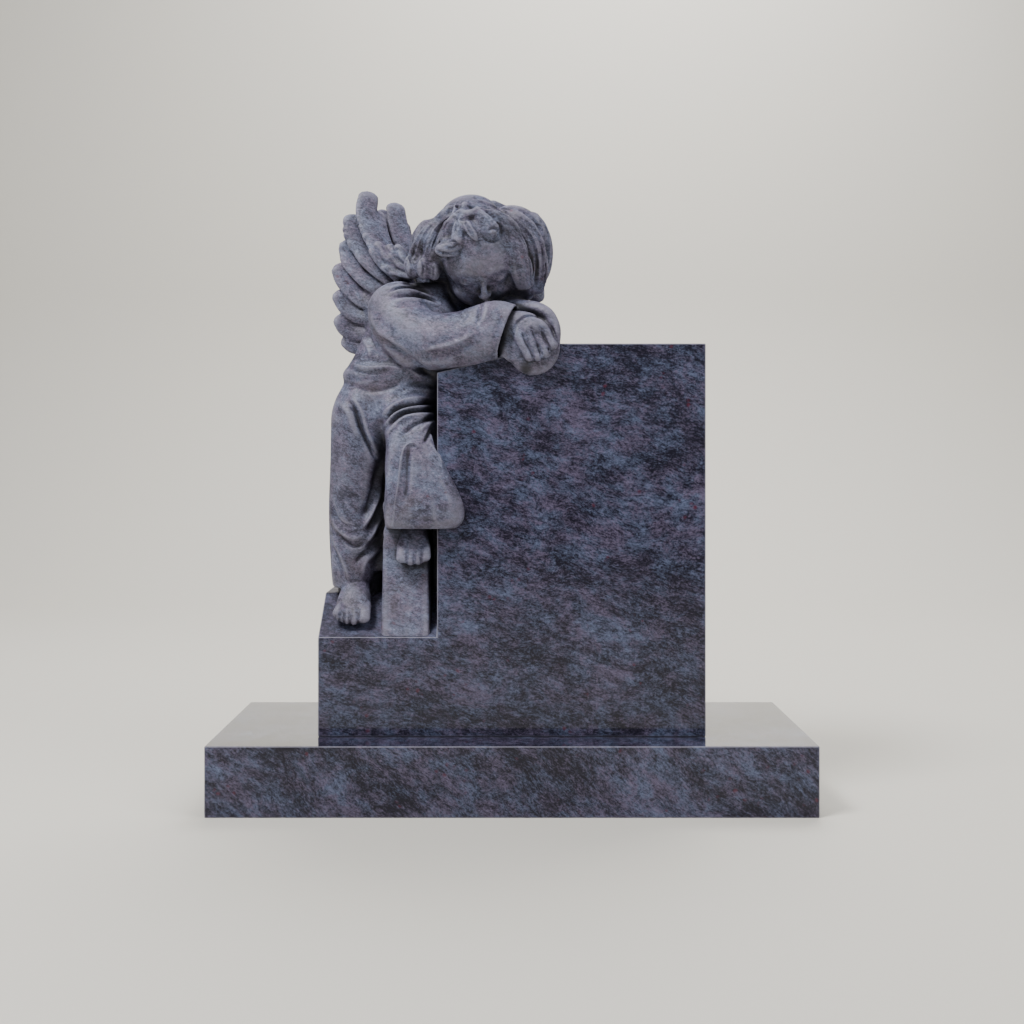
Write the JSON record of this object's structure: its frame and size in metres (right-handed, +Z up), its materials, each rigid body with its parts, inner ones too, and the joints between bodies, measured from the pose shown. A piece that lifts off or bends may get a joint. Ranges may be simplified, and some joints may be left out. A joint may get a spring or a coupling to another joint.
{
  "type": "angel headstone",
  "caption": "Carved child angel in a gown, asleep on folded arms over the top of a stepped upright headstone, on a low rectangular plinth.",
  "frame": {"origin": "on the ground under the middle of the plinth's underside", "axes": "+Z up, +X towards the viewer's right, and the carved and polished front faces -Y"},
  "size_m": [0.86, 0.32, 0.9142],
  "materials": {
    "polished_granite": "polished",
    "honed_granite": "honed"
  },
  "bodies": {
    "root": {"plinth": "polished_granite", "headstone": "polished_granite", "angel": "honed_granite"}
  },
  "joints": []
}
